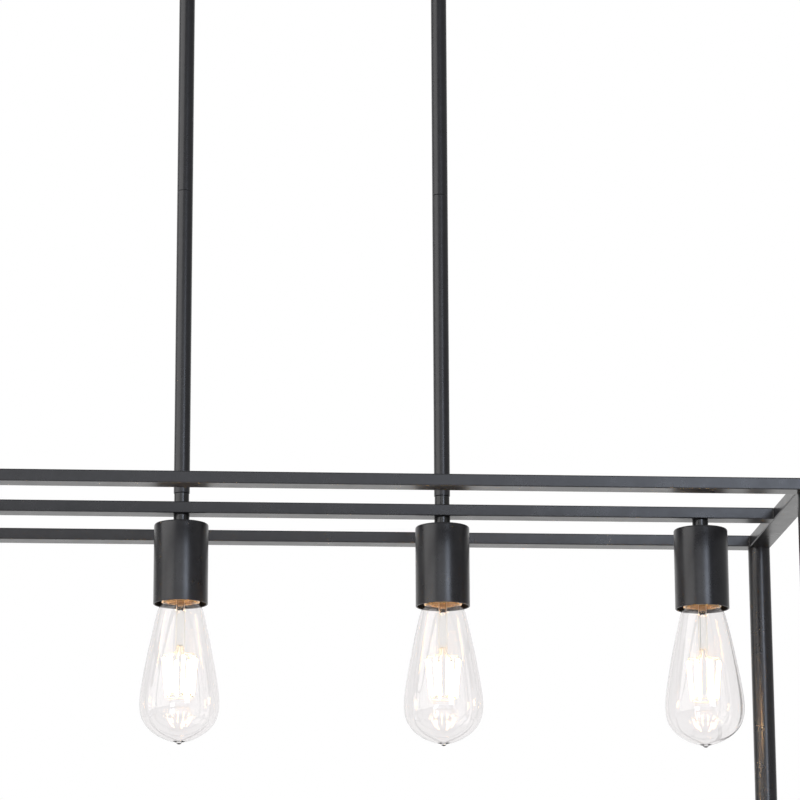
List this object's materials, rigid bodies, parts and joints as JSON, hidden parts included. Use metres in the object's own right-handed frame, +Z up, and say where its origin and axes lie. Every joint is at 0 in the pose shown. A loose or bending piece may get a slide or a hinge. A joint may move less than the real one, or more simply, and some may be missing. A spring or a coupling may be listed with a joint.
{
  "type": "linear island pendant",
  "caption": "Linear island pendant: clear filament bulbs in plain cups hang from the middle rail of an open black box frame, on twin rod stems below a long ceiling canopy.",
  "frame": {"origin": "centre of the strap's upper face, where the pendant meets the ceiling", "axes": "+X along the row of lamps, -Y towards the viewer, +Z up into the ceiling"},
  "size_m": [0.7914, 0.2464, 0.867],
  "materials": {
    "black_steel": "satin black powder coat",
    "zinc_steel": "bright zinc plate",
    "ground_green": "green zinc plate",
    "wire_insulation": "satin insulation, black and white",
    "wire_nut_plastic": "moulded, ribbed",
    "porcelain": null,
    "shell_brass": "pressed sheet",
    "cap_brass": "pressed sheet, rolled thread",
    "tip_solder": "solder",
    "clear_glass": "clear, thin",
    "filament": "glass rod, wires and lit filaments"
  },
  "bodies": {
    "ceiling_mount": {"canopy": "black_steel", "canopy_cap_nuts": "black_steel", "swivel_socket_left": "black_steel", "swivel_socket_right": "black_steel", "mounting_strap": "zinc_steel", "canopy_studs": "zinc_steel", "swivel_lock_nuts": "zinc_steel", "ground_screw": "ground_green", "supply_leads": "wire_insulation", "wire_nuts": "wire_nut_plastic"},
    "hanging_frame": {"swivel_ball_left": "black_steel", "swivel_ball_right": "black_steel", "upper_stem_left": "black_steel", "lower_stem_left": "black_steel", "upper_stem_right": "black_steel", "lower_stem_right": "black_steel", "rail_spacers": "black_steel", "centre_rail": "black_steel", "front_top_rail": "black_steel", "back_top_rail": "black_steel", "right_top_bar": "black_steel", "left_top_bar": "black_steel", "post_front_left": "black_steel", "post_front_right": "black_steel", "post_back_left": "black_steel", "post_back_right": "black_steel", "front_bottom_rail": "black_steel", "back_bottom_rail": "black_steel", "right_bottom_bar": "black_steel", "left_bottom_bar": "black_steel", "cup_necks": "black_steel", "socket_cup_1": "black_steel", "socket_cup_2": "black_steel", "socket_cup_3": "black_steel", "socket_cup_4": "black_steel", "stem_couplers": "zinc_steel", "through_nipples": "zinc_steel", "end_lamp_nipples": "zinc_steel", "nipple_nuts": "zinc_steel", "wiring_harness": "wire_insulation", "lamp_holders": "porcelain", "screw_shells": "shell_brass", "shell_contacts": "shell_brass"},
    "bulb_1_foot": {"bulb_1_tip": "tip_solder"},
    "bulb_1": {"bulb_1_cap": "cap_brass", "bulb_1_glass": "clear_glass", "bulb_1_filament": "filament"},
    "bulb_2_foot": {"bulb_2_tip": "tip_solder"},
    "bulb_2": {"bulb_2_cap": "cap_brass", "bulb_2_glass": "clear_glass", "bulb_2_filament": "filament"},
    "bulb_3_foot": {"bulb_3_tip": "tip_solder"},
    "bulb_3": {"bulb_3_cap": "cap_brass", "bulb_3_glass": "clear_glass", "bulb_3_filament": "filament"},
    "bulb_4_foot": {"bulb_4_tip": "tip_solder"},
    "bulb_4": {"bulb_4_cap": "cap_brass", "bulb_4_glass": "clear_glass", "bulb_4_filament": "filament"}
  },
  "joints": [
    {"name": "frame_swing", "type": "hinge", "parent": "ceiling_mount", "child": "hanging_frame", "pos_m": [0, 0, -0.033], "axis": [1, 0, 0], "range_deg": [-25, 25]},
    {"name": "bulb_1_feed", "type": "slide", "parent": "hanging_frame", "child": "bulb_1_foot", "axis": [0, 0, -1], "range_m": [0, 0.0182]},
    {"name": "bulb_1_turn", "type": "hinge", "parent": "bulb_1_foot", "child": "bulb_1", "pos_m": [-0.318, 0, -0.64], "axis": [0, 0, -1], "range_deg": [0, 1800]},
    {"name": "bulb_2_feed", "type": "slide", "parent": "hanging_frame", "child": "bulb_2_foot", "axis": [0, 0, -1], "range_m": [0, 0.0182]},
    {"name": "bulb_2_turn", "type": "hinge", "parent": "bulb_2_foot", "child": "bulb_2", "pos_m": [-0.106, 0, -0.64], "axis": [0, 0, -1], "range_deg": [0, 1800]},
    {"name": "bulb_3_feed", "type": "slide", "parent": "hanging_frame", "child": "bulb_3_foot", "axis": [0, 0, -1], "range_m": [0, 0.0182]},
    {"name": "bulb_3_turn", "type": "hinge", "parent": "bulb_3_foot", "child": "bulb_3", "pos_m": [0.106, 0, -0.64], "axis": [0, 0, -1], "range_deg": [0, 1800]},
    {"name": "bulb_4_feed", "type": "slide", "parent": "hanging_frame", "child": "bulb_4_foot", "axis": [0, 0, -1], "range_m": [0, 0.0182]},
    {"name": "bulb_4_turn", "type": "hinge", "parent": "bulb_4_foot", "child": "bulb_4", "pos_m": [0.318, 0, -0.64], "axis": [0, 0, -1], "range_deg": [0, 1800]}
  ],
  "couplings": [
    {"joint": "bulb_1_feed", "follows": "bulb_1_turn", "m_per_rad": 0.00057757},
    {"joint": "bulb_2_feed", "follows": "bulb_2_turn", "m_per_rad": 0.00057757},
    {"joint": "bulb_3_feed", "follows": "bulb_3_turn", "m_per_rad": 0.00057757},
    {"joint": "bulb_4_feed", "follows": "bulb_4_turn", "m_per_rad": 0.00057757}
  ]
}
